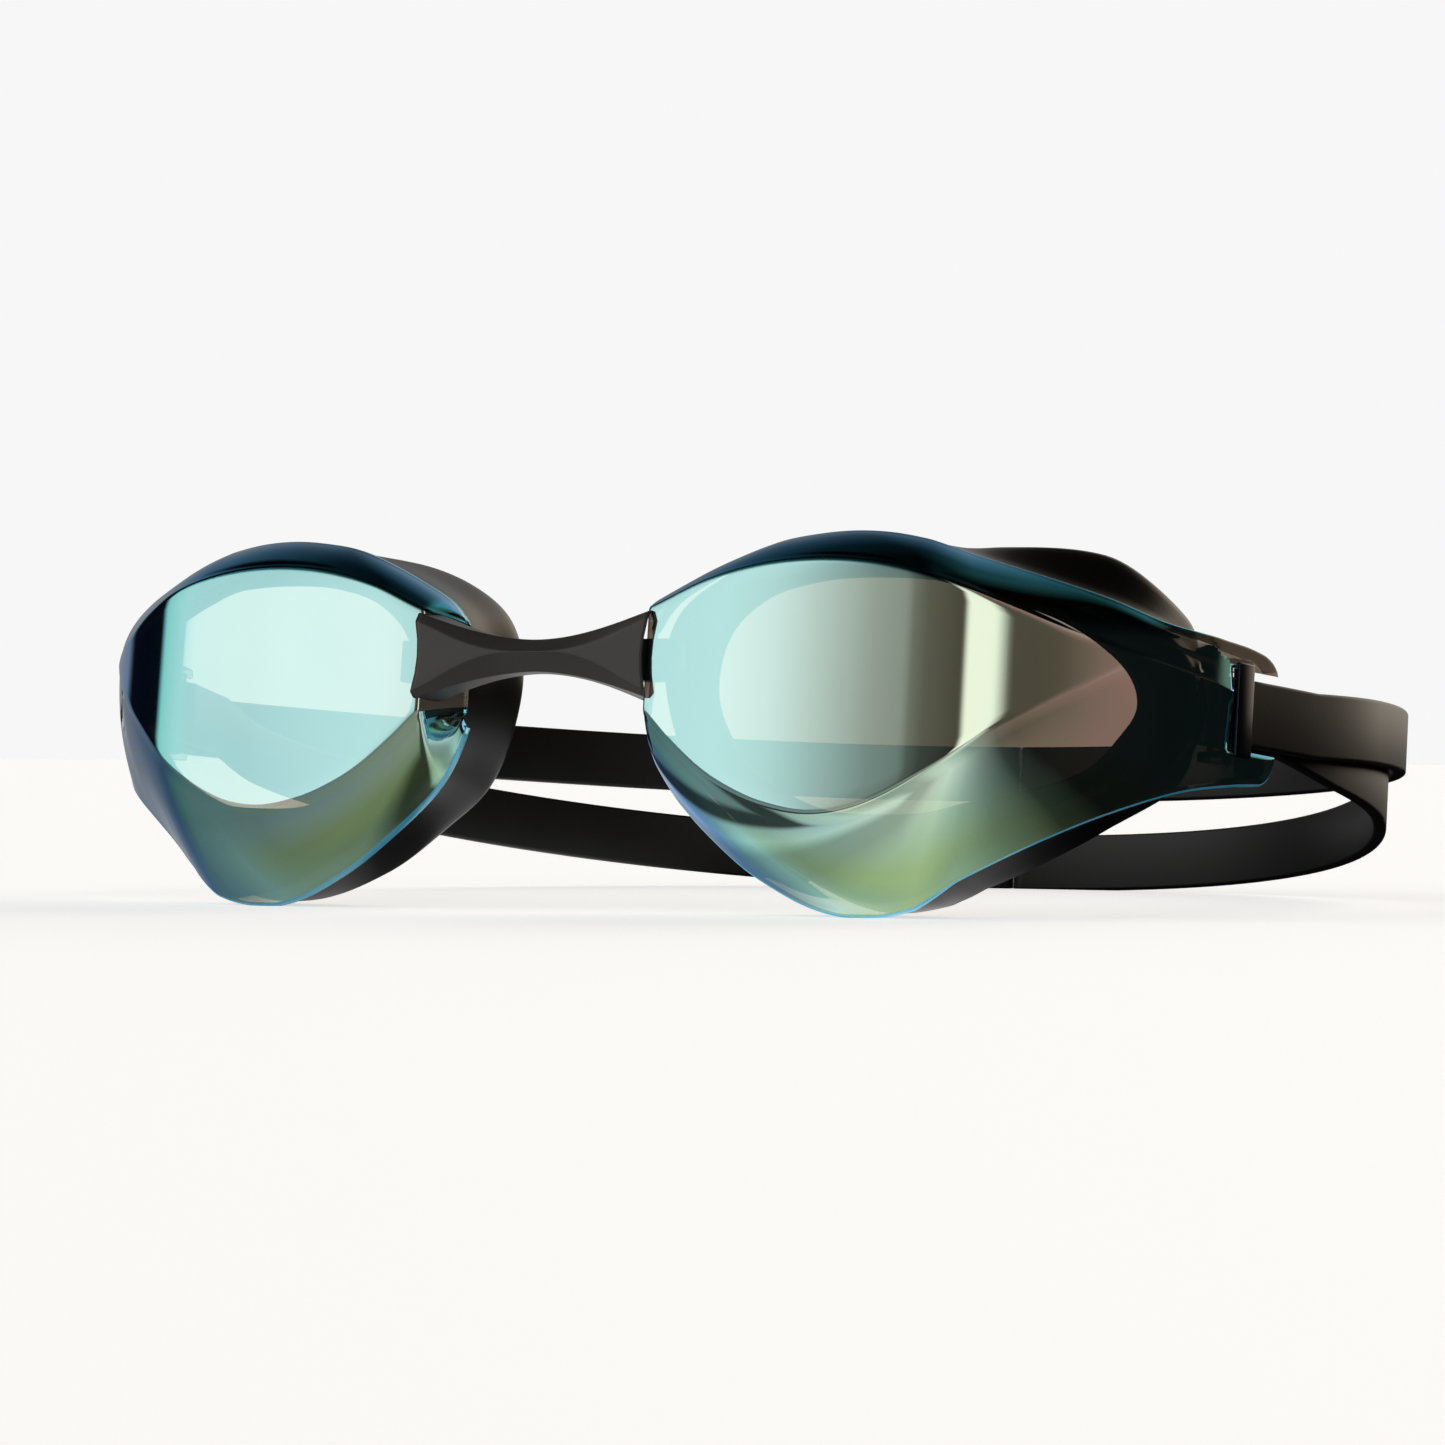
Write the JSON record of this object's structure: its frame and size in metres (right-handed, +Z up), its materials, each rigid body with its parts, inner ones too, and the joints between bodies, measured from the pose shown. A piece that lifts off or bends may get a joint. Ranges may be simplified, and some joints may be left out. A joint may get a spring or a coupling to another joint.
{
  "type": "swim goggles",
  "caption": "Racing swim goggles with wrapped mirrored lenses, soft eye seals, a flexible nose bridge and a split silicone strap that leads to a seam at the back.",
  "frame": {"origin": "middle of the footprint, on the floor that the goggles stand on", "axes": "+Z up, +X to the right of the picture (the wearer's left), +Y from the lenses towards the back of the strap"},
  "size_m": [0.133, 0.1144, 0.036],
  "materials": {
    "mirror_lens": "mirror-coated polycarbonate, aqua with green and olive tints",
    "seal_silicone": "smooth black silicone",
    "bridge_silicone": "satin dark grey elastomer",
    "strap_silicone": "satin black silicone"
  },
  "bodies": {
    "left_eye": {"lens_left": "mirror_lens", "seal_left": "seal_silicone", "nose_bridge": "bridge_silicone"},
    "right_eye": {"lens_right": "mirror_lens", "seal_right": "seal_silicone"},
    "left_strap_end": {"strap_loop_left": "strap_silicone"},
    "right_strap_end": {"strap_loop_right": "strap_silicone"},
    "left_upper_band": {"upper_band_left": "strap_silicone"},
    "right_upper_band": {"upper_band_right": "strap_silicone"},
    "left_lower_band": {"lower_band_left": "strap_silicone"},
    "right_lower_band": {"lower_band_right": "strap_silicone"}
  },
  "joints": [
    {"name": "bridge_fold", "type": "hinge", "parent": "left_eye", "child": "right_eye", "pos_m": [0, -0.05451, 0.02438], "axis": [0, 0.1185, 0.993], "range_deg": [-7, 7], "stiffness_Nm_per_rad": 0.6, "deforming": ["nose_bridge"]},
    {"name": "strap_swing_left", "type": "hinge", "parent": "left_eye", "child": "left_strap_end", "pos_m": [-0.05903, -0.0286, 0.01932], "axis": [0, 0.1185, 0.993], "range_deg": [-6, 6]},
    {"name": "strap_swing_right", "type": "hinge", "parent": "right_eye", "child": "right_strap_end", "pos_m": [0.05903, -0.0286, 0.01932], "axis": [0, 0.1185, 0.993], "range_deg": [-6, 6]},
    {"name": "upper_band_lift", "type": "hinge", "parent": "left_strap_end", "child": "left_upper_band", "pos_m": [0, -0.01767, 0.01802], "axis": [1, 0, 0], "range_deg": [0, 24], "stiffness_Nm_per_rad": 0.5},
    {"name": "upper_band_lift_right", "type": "hinge", "parent": "right_strap_end", "child": "right_upper_band", "pos_m": [0, -0.01767, 0.01802], "axis": [1, 0, 0], "range_deg": [0, 24], "stiffness_Nm_per_rad": 0.5},
    {"name": "lower_band_drop", "type": "hinge", "parent": "left_strap_end", "child": "left_lower_band", "pos_m": [0, -0.01767, 0.01802], "axis": [1, 0, 0], "range_deg": [-14, 0], "stiffness_Nm_per_rad": 0.5},
    {"name": "lower_band_drop_right", "type": "hinge", "parent": "right_strap_end", "child": "right_lower_band", "pos_m": [0, -0.01767, 0.01802], "axis": [1, 0, 0], "range_deg": [-14, 0], "stiffness_Nm_per_rad": 0.5}
  ],
  "couplings": [
    {"joint": "strap_swing_left", "follows": "bridge_fold", "ratio": 0.6562},
    {"joint": "strap_swing_right", "follows": "bridge_fold", "ratio": -0.6562},
    {"joint": "upper_band_lift_right", "follows": "upper_band_lift", "ratio": 1},
    {"joint": "lower_band_drop_right", "follows": "lower_band_drop", "ratio": 1}
  ]
}
